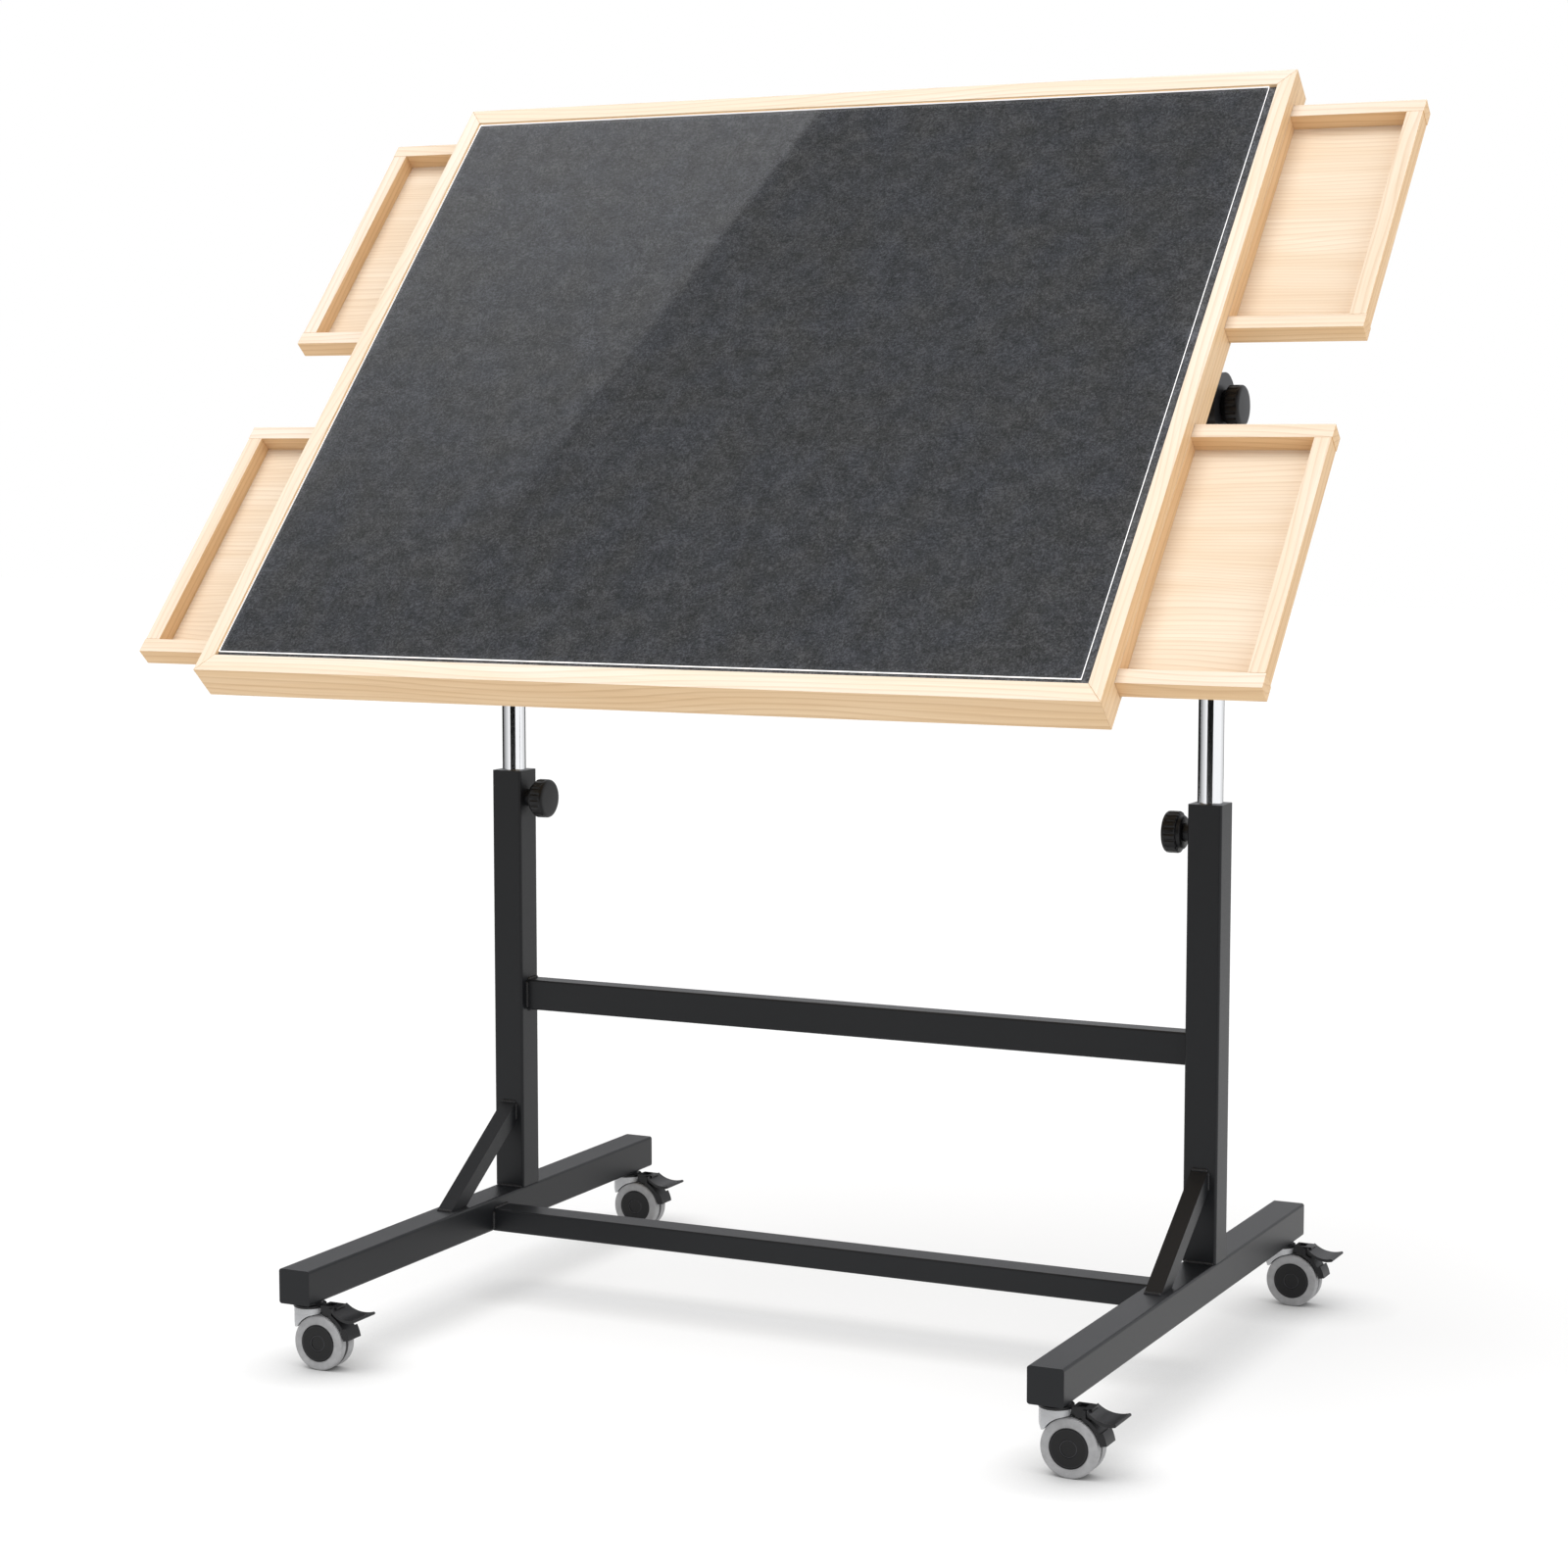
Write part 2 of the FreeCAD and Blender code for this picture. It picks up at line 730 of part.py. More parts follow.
def tread():
    """The flared foot plate: hollow from end to end, with a turned-up round tip."""
    top = saddle_top - pedal_step
    tip_x = pedal_end - pedal_thickness / 2
    rows = []
    for depth in (0, pedal_thickness):
        rows.append([point(pedal_start, 0, top - depth), point(pedal_dip_place, 0, top - pedal_dip - depth),
                     point(tip_x, 0, top - pedal_tip_drop - depth)])
    upper, lower = rows
    nose = point(pedal_end, 0, top - pedal_tip_drop - pedal_thickness / 2)
    edges = [Part.Arc(*upper).toShape(), Part.Arc(upper[-1], nose, lower[-1]).toShape(),
             Part.Arc(*reversed(lower)).toShape(), Part.makeLine(lower[0], upper[0])]
    section = Part.Face(Part.Wire(edges))
    section.translate(-along_y * pedal_tip_half_width)
    slab = section.extrude(along_y * 2 * pedal_tip_half_width)
    low = top - 2 * pedal_dip - pedal_thickness
    outline = [(pedal_start, -pedal_root_half_width, low), (pedal_end, -pedal_tip_half_width, low),
               (pedal_end, pedal_tip_half_width, low), (pedal_start, pedal_root_half_width, low)]
    return slab.common(prism(outline, along_z, 3 * pedal_dip + pedal_thickness))


def pedal():
    inner_y = lug_half_width + body_gap
    outer_y = inner_y + ear_eye_width
    saddle_end = pedal_start + pedal_thickness
    saddle_zs = (saddle_low, saddle_top)
    shape = pin(pin_radius, pin_place, (-outer_y, outer_y), pin_height)
    for side in sides:
        ys = ordered(side * inner_y, side * outer_y)
        shape = shape.fuse(pin(ear_eye_radius, pin_place, ys, pin_height))
        shape = shape.fuse(block((saddle_start, pin_place), ys, (pin_height, saddle_top)))
        shape = shape.fuse(block((pin_place, saddle_end), ys, (pin_height - ear_eye_radius, saddle_top)))
    saddle = block((saddle_start, saddle_end), (-outer_y, outer_y), saddle_zs)
    slot = (saddle_slot_start, saddle_slot_end)
    saddle = saddle.cut(block(slot, (-inner_y, inner_y), grown(saddle_zs, overrun)))
    shoe_radius = wheel_radius + shoe_gap
    shoe_ys = (-shoe_half_width, shoe_half_width)
    band = ring_part(shoe_radius, shoe_radius + shoe_thickness, shoe_ys, shoe_start, shoe_end)
    heel_radius = shoe_radius + shoe_thickness + shoe_heel_thickness
    heel = ring_part(shoe_radius, heel_radius, shoe_ys, shoe_start, shoe_heel_end)
    neck_x = wheel_trail + shoe_radius * math.cos(math.radians(shoe_end))
    neck_low = wheel_radius + shoe_radius * math.sin(math.radians(shoe_end))
    neck = block((neck_x, neck_x + shoe_thickness), shoe_ys, (neck_low, saddle_top - pedal_thickness / 2))
    lug_room = (neck_low - overrun, saddle_top + overrun)
    neck = neck.cut(block((neck_x - overrun, pedal_start), (-inner_y, inner_y), lug_room))
    return shape.fuse([saddle, tread(), band, heel, neck]).removeSplitter()


def placed(shape, side, end):
    moved = shape.copy()
    moved.translate(point(post_x(side), caster_y(end), 0))
    return moved


corners_of_stand = [(side, end) for side in sides for end in sides]
save("caster_swivel_caps", *[placed(swivel_cap(), side, end) for side, end in corners_of_stand])
save("caster_stems", *[placed(stem(), side, end) for side, end in corners_of_stand])
for side, end in corners_of_stand:
    name = ("front_" if end < 0 else "back_") + side_name(side) + "_caster"
    save(name + "_housing", placed(housing(), side, end))
    save(name + "_tyres", placed(tyre(-1), side, end), placed(tyre(1), side, end))
    save(name + "_hubs", placed(hub_pair(), side, end))
    save(name + "_pedal", placed(pedal(), side, end))
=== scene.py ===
import json
import math

import bmesh
import bpy
from mathutils import Matrix, Vector


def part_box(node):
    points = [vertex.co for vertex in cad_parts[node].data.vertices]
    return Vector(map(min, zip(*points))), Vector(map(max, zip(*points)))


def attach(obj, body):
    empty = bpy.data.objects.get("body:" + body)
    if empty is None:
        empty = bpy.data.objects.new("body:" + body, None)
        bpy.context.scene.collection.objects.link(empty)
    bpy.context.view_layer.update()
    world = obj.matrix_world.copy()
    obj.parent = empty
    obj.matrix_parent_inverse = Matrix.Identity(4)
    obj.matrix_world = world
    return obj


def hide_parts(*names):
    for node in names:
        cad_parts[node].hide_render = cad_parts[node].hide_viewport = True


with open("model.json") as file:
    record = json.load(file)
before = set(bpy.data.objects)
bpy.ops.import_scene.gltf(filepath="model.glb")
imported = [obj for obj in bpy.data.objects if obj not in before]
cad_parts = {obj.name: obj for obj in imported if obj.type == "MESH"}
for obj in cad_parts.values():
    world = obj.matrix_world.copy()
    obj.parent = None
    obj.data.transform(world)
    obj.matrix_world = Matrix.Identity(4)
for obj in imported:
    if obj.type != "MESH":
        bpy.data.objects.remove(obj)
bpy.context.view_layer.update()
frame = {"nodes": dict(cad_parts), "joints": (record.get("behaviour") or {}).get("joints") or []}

# Lengths in metres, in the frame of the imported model
DRAWER_WALL = 0.0152
DRAWER_FRONT_SET = 0.0007
BAY_GAP = 0.0005
LUG_START = 0.0146
BLADE_TOP = 0.0480
BLADE_HALF = 0.0018
BOARD_EDGE = 0.0006
BAY_EDGE = 0.0003
BASE_EDGE = 0.0002
COVER_EDGE = 0.0005
CAP_EDGE = 0.0007
SWIVEL_CAP_EDGE = 0.0004
PEDAL_EDGE = 0.0005

TILT = math.radians(47.5)
SIDES = ("left", "right")
ENDS = ("front", "back")
JOINTS = {joint["name"]: joint for joint in frame["joints"]}
PIVOT = Vector(JOINTS["tray_tilt"]["pos_m"])
BOARD = Matrix.Translation((0, PIVOT.y, PIVOT.z)) @ Matrix.Rotation(TILT, 4, "X")
scene = bpy.context.scene


# Materials

BLACK = (0, 0, 0)
WHITE = (1, 1, 1)

# Sockets of the mixing node that take and give colours
FIRST_COLOUR = 6
SECOND_COLOUR = 7
MIXED_COLOUR = 2


class Shader:
    """A node material built up by short calls."""

    def __init__(self, name):
        self.material = bpy.data.materials.new(name)
        self.material.use_nodes = True
        self.nodes = self.material.node_tree.nodes
        self.links = self.material.node_tree.links
        self.surface = self.nodes["Principled BSDF"]
        self.place = self.nodes.new("ShaderNodeTexCoord").outputs["Object"]

    def link(self, source, target):
        self.links.new(source, target)

    def node(self, kind, inputs=None, **settings):
        made = self.nodes.new(kind)
        for key, value in settings.items():
            setattr(made, key, value)
        for key, value in (inputs or {}).items():
            if isinstance(value, bpy.types.NodeSocket):
                self.link(value, made.inputs[key])
            else:
                made.inputs[key].default_value = value
        return made

    def mapped(self, scale=(1, 1, 1), turn=(0, 0, 0), source=None):
        inputs = {"Vector": source or self.place, "Scale": scale, "Rotation": turn}
        return self.node("ShaderNodeMapping", inputs).outputs["Vector"]

    def noise(self, vector, scale, detail=2.0, roughness=0.5, distortion=0.0):
        inputs = {"Vector": vector, "Scale": scale, "Detail": detail, "Roughness": roughness,
                  "Distortion": distortion}
        return self.node("ShaderNodeTexNoise", inputs).outputs["Fac"]

    def ramp(self, value, stops):
        made = self.node("ShaderNodeValToRGB", {"Fac": value})
        elements = made.color_ramp.elements
        while len(elements) < len(stops):
            elements.new(0.5)
        for element, (place, colour) in zip(elements, stops):
            element.position = place
            element.color = (*colour, 1)
        return made.outputs["Color"]

    def vector(self, operation, first, second=BLACK):
        return self.node("ShaderNodeVectorMath", {0: first, 1: second}, operation=operation)

    def mix(self, share, first, second, blend="MIX"):
        made = self.node("ShaderNodeMix", data_type="RGBA", blend_type=blend)
        for key, value in ((0, share), (FIRST_COLOUR, first), (SECOND_COLOUR, second)):
            if isinstance(value, bpy.types.NodeSocket):
                self.link(value, made.inputs[key])
            else:
                made.inputs[key].default_value = value if key == 0 else (*value, 1)
        return made.outputs[MIXED_COLOUR]

    def maths(self, operation, first, second):
        made = self.node("ShaderNodeMath", operation=operation)
        for key, value in enumerate((first, second)):
            if isinstance(value, bpy.types.NodeSocket):
                self.link(value, made.inputs[key])
            else:
                made.inputs[key].default_value = value
        return made.outputs[0]

    def spread(self, value, low, high):
        inputs = {"Value": value, "To Min": low, "To Max": high}
        return self.node("ShaderNodeMapRange", inputs).outputs["Result"]

    def bump(self, height, strength, distance):
        inputs = {"Height": height, "Strength": strength, "Distance": distance}
        self.link(self.node("ShaderNodeBump", inputs).outputs["Normal"], self.surface.inputs["Normal"])

    def put(self, **values):
        for key, value in values.items():
            socket = self.surface.inputs[key.replace("_", " ").title().replace("Ior", "IOR")]
            if isinstance(value, bpy.types.NodeSocket):
                self.link(value, socket)
            else:
                socket.default_value = (*value, 1) if isinstance(value, tuple) else value


def linear(red, green, blue):
    """An 8-bit screen colour as the linear values that a shader takes. Its values are all above 10."""
    shares = [value / 255 for value in (red, green, blue)]
    return tuple(((share + 0.055) / 1.055) ** 2.4 for share in shares)


def scaled(colour, factor, lift=0.0):
    """A colour made lighter or darker, but not past white."""
    return tuple(min(1.0, value * factor + lift) for value in colour)


def wood(name, light, mid, dark, turn=(0, 0, 0), lines=1.0, close=3.9):
    """Lacquered pale softwood whose grain runs along the piece's X axis.

    The strength of its lines and how close together they run can be set."""
    s = Shader(name)
    grain = s.mapped(turn=turn)
    broad = s.noise(s.mapped(scale=(1.3, 14, 14), source=grain), 1.6, 3, 0.55, 0.4)
    growth = s.noise(s.mapped(scale=(1.6, 230, 230), source=grain), 1.0, 3, 0.6, 0.4)
    fibres = s.noise(s.mapped(scale=(12, 900, 900), source=grain), 1.0, 2, 0.6)
    flow = s.noise(s.mapped(scale=(1.1, 5, 5), source=grain), 1.3, 2, 0.5)
    sway_inputs = {"Y": s.maths("MULTIPLY", flow, 0.055), "Z": s.maths("MULTIPLY", flow, 0.04)}
    sway = s.node("ShaderNodeCombineXYZ", sway_inputs).outputs["Vector"]
    bent = s.vector("ADD", grain, sway).outputs["Vector"]
    wave_inputs = {"Vector": s.mapped(scale=(0.25, 22, 22), source=bent), "Scale": close, "Distortion": 1.5,
                   "Detail": 2.0, "Detail Scale": 1.6}
    wave = s.node("ShaderNodeTexWave", wave_inputs, bands_direction="DIAGONAL", wave_profile="SAW")
    ring_stops = [(0.0, BLACK), (0.6, scaled(WHITE, 0.14)), (0.92, WHITE), (1.0, BLACK)]
    rings = s.ramp(wave.outputs["Fac"], ring_stops)
    base = s.ramp(broad, [(0.3, light), (0.58, mid), (0.8, light)])
    base = s.mix(s.maths("MULTIPLY", rings, 0.28 * lines), base, dark)
    base = s.mix(s.maths("MULTIPLY", s.spread(growth, -0.55, 0.95), 0.26 * lines), base, dark)
    pores = s.ramp(fibres, [(0.32, (0.80, 0.72, 0.62)), (0.46, WHITE)])
    base = s.mix(0.25, base, pores, "MULTIPLY")
    s.put(base_color=base, roughness=s.spread(fibres, 0.42, 0.58), specular_ior_level=0.35,
          coat_weight=0.06, coat_roughness=0.35)
    s.bump(fibres, 0.12, 0.0004)
    return s.material


def painted(name, colour, rough, shine, grain=0.16, size=1500.0):
    """Coated metal: a fine orange-peel over a satin colour that is a little uneven."""
    s = Shader(name)
    peel = s.noise(s.place, size, 2, 0.55)
    cloud = s.noise(s.place, 9.0, 3, 0.5)
    shade = s.mix(s.spread(cloud, 0.0, 0.45), colour, scaled(colour, 1.45, 0.002))
    s.put(base_color=shade, roughness=s.spread(peel, rough - 0.05, rough + 0.07), specular_ior_level=shine)
    s.bump(peel, grain, 0.0003)
    return s.material


def plastic(name, colour, rough=0.36, texture=0.10, size=2600.0):
    """Moulded plastic with a faint spark-eroded texture."""
    s = Shader(name)
    fine = s.noise(s.place, size, 2, 0.6)
    cloud = s.noise(s.place, 40.0, 2, 0.5)
    shade = s.mix(s.spread(cloud, 0.0, 0.3), colour, scaled(colour, 1.3, 0.001))
    s.put(base_color=shade, roughness=s.spread(fine, rough - 0.04, rough + 0.06), specular_ior_level=0.3)
    s.bump(fine, texture, 0.0002)
    return s.material


def hub(name, colour, rough, diameter):
    """Moulded wheel hub: one round groove sets off its middle, and another one its border. Thin lighter rings
    beside the grooves are painted highlights.
    """
    s = Shader(name)
    box = s.nodes.new("ShaderNodeTexCoord").outputs["Generated"]
    middle = s.vector("ADD", box, (-0.5, -0.5, -0.5)).outputs["Vector"]
    flat = s.vector("MULTIPLY", middle, (diameter, 0.0, diameter)).outputs["Vector"]
    part = s.maths("DIVIDE", s.vector("LENGTH", flat).outputs["Value"], diameter / 2)
    wear = s.maths("MULTIPLY", s.noise(s.place, 300.0, 2, 0.5), 0.006)
    grooves = s.ramp(s.maths("ADD", part, wear), [(0.0, WHITE), (0.43, WHITE), (0.45, BLACK), (0.47, WHITE),
                                                  (0.93, WHITE), (0.96, BLACK)])
    # Thin lighter rings at the groove edges: painted highlights
    painted_ring_highlights = s.ramp(part, [(0.39, BLACK), (0.42, WHITE), (0.44, BLACK), (0.90, BLACK),
                         (0.915, scaled(WHITE, 0.6)), (0.93, BLACK)])
    s.put(base_color=s.mix(painted_ring_highlights, colour, scaled(colour, 14)), roughness=rough, specular_ior_level=0.3)
    s.bump(grooves, 0.8, 0.0006)
    return s.material


def metal(name, colour, rough, streak, depth=0.03):
    """Bare or plated metal with fine streaks."""
    s = Shader(name)
    streaks = s.noise(s.mapped(scale=streak), 60.0, 3, 0.6)
    s.put(base_color=colour, metallic=1.0, roughness=s.spread(streaks, rough * 0.7, rough * 1.4))
    s.bump(streaks, depth, 0.0002)
    return s.material


def felt(name):
    """Dark heathered felt: mixed grey fibres in small clumps under a soft nap."""
    s = Shader(name)
    fibres = s.noise(s.place, 560.0, 2, 0.6)
    clumps = s.noise(s.place, 250.0, 2, 0.5)
    patches = s.noise(s.place, 60.0, 3, 0.5)
    mixed = s.maths("ADD", s.maths("MULTIPLY", fibres, 0.52), s.maths("MULTIPLY", clumps, 0.26))
    mixed = s.maths("ADD", mixed, s.maths("MULTIPLY", patches, 0.22))
    greys = [(0.38, linear(50, 51, 52)), (0.5, linear(73, 74, 76)), (0.62, linear(101, 102, 105))]
    shade = s.ramp(mixed, greys)
    tint = s.ramp(s.noise(s.place, 22.0, 2, 0.5), [(0.35, (0.97, 0.99, 1.045)), (0.65, (1.015, 1.005, 0.98))])
    s.put(base_color=s.mix(1.0, shade, tint, "MULTIPLY"), roughness=0.95, specular_ior_level=0.15,
          sheen_weight=0.12, sheen_roughness=0.5)
    s.bump(fibres, 0.3, 0.0008)
    return s.material


def acrylic(name, share, painted_glow=0.0):
    """Clear glossy sheet, which lets light straight through.

    It mirrors more at flat angles, and may give off a faint emission: painted light that lightens the sheet
    and what lies under it."""
    s = Shader(name)
    wear = s.noise(s.place, 45.0, 3, 0.6)
    mirror = s.maths("MULTIPLY", s.node("ShaderNodeFresnel", {"IOR": 1.49}).outputs["Fac"], share)
    s.put(base_color=WHITE, metallic=1.0, roughness=s.spread(wear, 0.02, 0.05), alpha=mirror)
    if painted_glow:
        # Painted light: the emission lifts the sheet and what shows through it
        s.put(emission_color=WHITE, emission_strength=s.maths("DIVIDE", painted_glow, mirror))
    return s.material


def acrylic_painted_glow_edge(name):
    """Sawn and polished sheet edge: pale of its own, and made white by an emission that is painted light."""
    s = Shader(name)
    cuts = s.noise(s.place, 900.0, 2, 0.5)
    s.put(base_color=s.ramp(cuts, [(0.3, (0.78, 0.80, 0.82)), (0.7, (0.98, 0.99, 1.0))]), roughness=0.22,
          emission_color=WHITE, emission_strength=0.9)
    return s.material


def rubber(name, colour):
    """Matt grey wheel rubber with faint moulding marks and dust."""
    s = Shader(name)
    dust = s.noise(s.place, 160.0, 3, 0.6)
    fine = s.noise(s.place, 2200.0, 2, 0.5)
    shade = s.ramp(dust, [(0.35, scaled(colour, 0.90)), (0.65, scaled(colour, 1.07))])
    s.put(base_color=shade, roughness=0.62, specular_ior_level=0.35)
    s.bump(fine, 0.18, 0.0003)
    return s.material


rail_wood = wood("rail_wood", linear(234, 222, 208), linear(229, 213, 191), linear(190, 154, 112))
# A darker, warmer copy of the rail wood for the faces that don't look up: painted shade
rail_painted_shade = wood("rail_painted_shade_wood", linear(234, 205, 166), linear(226, 193, 150), linear(178, 134, 86),
                 lines=1.2)
drawer_wood = wood("drawer_wood", linear(233, 220, 205), linear(227, 209, 186), linear(186, 148, 106),
                   lines=1.1)
# A darker, warmer copy of the drawer wood for the faces that don't look up: painted shade
drawer_painted_shade = wood("drawer_painted_shade_wood", linear(232, 200, 158), linear(224, 188, 142), linear(176, 130, 82),
                   lines=1.2)
floor_wood = wood("drawer_floor_wood", linear(231, 216, 196), linear(224, 204, 179), linear(184, 146, 104),
                  close=6.0)
inside_wood = wood("inside_plywood", linear(214, 194, 164), linear(202, 178, 142), linear(160, 124, 84),
                   turn=(-TILT, 0, 0))
black_steel = painted("black_powder_coat", (0.0075, 0.0082, 0.0095), rough=0.36, shine=0.27)
weld_steel = painted("black_weld", (0.012, 0.012, 0.013), rough=0.40, shine=0.4, grain=0.4, size=500.0)
black_plastic = plastic("black_plastic", (0.009, 0.009, 0.010))
knob_plastic = plastic("knob_plastic", (0.003, 0.003, 0.0035), rough=0.38, texture=0.16, size=1800.0)
hub_low, hub_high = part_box("front_right_caster_hubs")
hub_plastic = hub("hub_plastic", (0.0032, 0.0032, 0.0036), 0.28, hub_high.z - hub_low.z)
chrome = metal("chrome", (0.86, 0.87, 0.89), 0.07, streak=(2, 2, 0.2), depth=0.008)
zinc = metal("zinc", (0.62, 0.62, 0.63), 0.28, streak=(8, 8, 8))
silver = painted("silver_paint", (0.43, 0.435, 0.445), rough=0.34, shine=0.6, grain=0.08)
tyre_rubber = rubber("tyre_rubber", linear(156, 156, 157))
grey_felt = felt("grey_felt")
# The cover's faint emission is painted light over the felt
clear = acrylic("clear_acrylic", 1.15, painted_glow=0.010)
clear_under = acrylic("clear_acrylic_underside", 0.02)
clear_edge_painted_glow = acrylic_painted_glow_edge("acrylic_painted_glow_edge")


# Pieces made for the looks


def ranged(node):
    """The limits of a tilted CAD node along the tray's own X, depth and height."""
    level = BOARD.inverted()
    points = [level @ vertex.co for vertex in frame["nodes"][node].data.vertices]
    return [(min(p[i] for p in points), max(p[i] for p in points)) for i in range(3)]


def add_mesh(name, build, material, place, body, replaced=()):
    """Makes a named piece from a bmesh, gives it a material and lets it ride on its body."""
    mesh = bpy.data.meshes.new(name)
    build.to_mesh(mesh)
    build.free()
    piece = bpy.data.objects.new(name, mesh)
    scene.collection.objects.link(piece)
    piece.matrix_world = place
    for made in material if isinstance(material, list) else [material]:
        mesh.materials.append(made)
    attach(piece, body)
    if replaced:
        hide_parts(*replaced)
    return piece


def smooth(piece, angle):
    """Smooth shading that keeps edges sharper than the angle."""
    piece.data.polygons.foreach_set("use_smooth", [True] * len(piece.data.polygons))
    piece.data.set_sharp_from_angle(angle=math.radians(angle))


# Each board is cut one step further on in the wood than the board before it.
WOOD_STEP = Vector((0.37, 0.113, 0.071))
PLANK_COUNT = [0]

# A face that looks up more than this share takes the wood of the board's top. The other faces take the last
# wood given, which for the rim and the drawer strips is a darker, warmer copy as painted shade.
TOP_FACING = 0.5


def plank(name, limits, along, material, body, replaced=(), edge=BOARD_EDGE, mitre=(0, 0), inner=0):
    """A board with eased edges whose grain runs along the given tray axis. Each takes other wood.

    A mitre takes two lengths off its inner side, at the board's low end and its high end."""
    sizes = [high - low for low, high in limits]
    middle = Vector([(low + high) / 2 for low, high in limits])
    PLANK_COUNT[0] += 1
    shift = WOOD_STEP * PLANK_COUNT[0]
    build = bmesh.new()
    bmesh.ops.create_cube(build, size=1.0)
    across = [sizes[i] for i in range(3) if i != along]
    bmesh.ops.scale(build, vec=(sizes[along], *across), verts=build.verts)
    inward = inner if along == 0 else -inner
    for vertex in build.verts:
        if vertex.co.y * inward > 0:
            vertex.co.x += mitre[0] if vertex.co.x < 0 else -mitre[1]
    cut = min(edge, min(sizes) / 4)
    bmesh.ops.bevel(build, geom=build.edges[:], offset=cut, segments=2, profile=0.5, affect="EDGES")
    bmesh.ops.translate(build, vec=shift, verts=build.verts)
    axes = Matrix.Rotation(math.pi / 2 * along, 4, "Z")
    place = BOARD @ Matrix.Translation(middle) @ axes @ Matrix.Translation(-shift)
    piece = add_mesh(name, build, material, place, body, replaced)
    # Upward faces take the first wood, the others the last one: the painted-shade copy where one is given
    for polygon in piece.data.polygons:
        polygon.material_index = 0 if polygon.normal.z > TOP_FACING else len(piece.data.materials) - 1
    return piece


# Rim of the tray, with mitred corners

side_xs = ranged("left_side_rail")[0]
front_vs = ranged("front_rail")[1]
side_width = side_xs[1] - side_xs[0]
end_width = front_vs[1] - front_vs[0]
# Wood for the tops, and its darker copy with painted shade for the other faces
rim_wood_and_painted_shade = [rail_wood, rail_painted_shade]
for end in ENDS:
    plank("rim_" + end, ranged(end + "_rail"), 0, rim_wood_and_painted_shade, "tray", [end + "_rail"],
          mitre=(side_width, side_width), inner=1 if end == "front" else -1)
for side in SIDES:
    plank("rim_" + side, ranged(side + "_side_rail"), 1, rim_wood_and_painted_shade, "tray", [side + "_side_rail"],
          mitre=(end_width, end_width), inner=1 if side == "left" else -1)

post_xs, post_vs, post_ws = ranged("drawer_bay_posts")
front_bay = ranged("right_front_drawer_frame")[1]
back_bay = ranged("right_back_drawer_frame")[1]
spans = {"front": (post_vs[0], front_bay[0] - BAY_GAP),
         "middle": (front_bay[1] + BAY_GAP, back_bay[0] - BAY_GAP),
         "back": (back_bay[1] + BAY_GAP, post_vs[1])}
cuts = {"front": (end_width, 0), "middle": (0, 0), "back": (0, end_width)}
for side in SIDES:
    left = side == "left"
    xs = (post_xs[0], post_xs[0] + side_width) if left else (post_xs[1] - side_width, post_xs[1])
    for where, span in spans.items():
        replaced = ["drawer_bay_posts"] if where == "front" and left else ()
        plank(f"bay_post_{side}_{where}", [xs, span, post_ws], 1, rim_wood_and_painted_shade, "tray", replaced,
              edge=BAY_EDGE, mitre=cuts[where], inner=1 if left else -1)

# Drawers

# Drawer wood for the tops, and its darker copy with painted shade for the other faces
strip_wood_and_painted_shade = [drawer_wood, drawer_painted_shade]
for side in SIDES:
    for end in ENDS:
        body = f"{side}_{end}_drawer"
        xs, vs, ws = ranged(body + "_frame")
        left = side == "left"
        outer_start = xs[0] + DRAWER_FRONT_SET if left else xs[1] - DRAWER_FRONT_SET - DRAWER_WALL
        inner_start = xs[1] - DRAWER_WALL if left else xs[0]
        between = (vs[0] + DRAWER_WALL, vs[1] - DRAWER_WALL)
        strips = {"strip_front": (xs, (vs[0], between[0]), 0), "strip_back": (xs, (between[1], vs[1]), 0),
                  "outer_wall": ((outer_start, outer_start + DRAWER_WALL), between, 1),
                  "inner_wall": ((inner_start, inner_start + DRAWER_WALL), between, 1)}
        for part, (part_xs, part_vs, along) in strips.items():
            replaced = [body + "_frame"] if part == "strip_front" else ()
            plank(f"{body}_{part}", [part_xs, part_vs, ws], along, strip_wood_and_painted_shade, body, replaced)
        plank(body + "_base", ranged(body + "_floor"), 0, floor_wood, body, [body + "_floor"],
              edge=BASE_EDGE)

# Clear cover with white edges: pale of their own, and lit up by an emission that is painted light

FLAT_FACING = 0.9
cover = plank("clear_sheet", ranged("clear_cover"), 0, [clear, clear_edge_painted_glow, clear_under], "cover",
              ["clear_cover"], edge=COVER_EDGE)
for polygon in cover.data.polygons:
    up = polygon.normal.z
    polygon.material_index = 0 if up > FLAT_FACING else 2 if up < -FLAT_FACING else 1

# Knobs and their studs, turned about their own Z axis, in millimetres

# Each station is a height, a radius and the depth of the flutes there.
KNOB_PROFILE = [(0.0, 13.2, 0), (0.5, 14.6, 0), (1.2, 15.2, 0), (3.6, 15.4, 0), (3.9, 15.6, 0),
                (4.0, 17.6, 0.2), (4.6, 18.6, 0.8), (5.6, 18.95, 1.15), (12.0, 18.95, 1.15),
                (13.2, 18.95, 1.0), (14.0, 18.95, 0.55), (14.6, 18.9, 0), (15.6, 18.75, 0), (16.5, 18.2, 0),
                (17.15, 17.3, 0), (17.5, 16.2, 0), (17.62, 15.0, 0), (17.68, 12.0, 0), (17.80, 8.0, 0),
                (17.88, 4.0, 0)]
FLUTES = 20
FLUTE_POWER = 0.8
KNOB_CORNERS = 240
KNOB_SHARP_ANGLE = 50
GRIP_LENGTH = 18.0
STUD_CORNERS = 96
STUD_SHARP_ANGLE = 35
STUD_TIP_RADIUS = 3.2
STUD_CHAMFER = 0.8
THREAD_RADIUS = 4.0
THREAD_ROOT = 3.65
THREAD_PITCH = 1.25
THREAD_FALL = 0.6


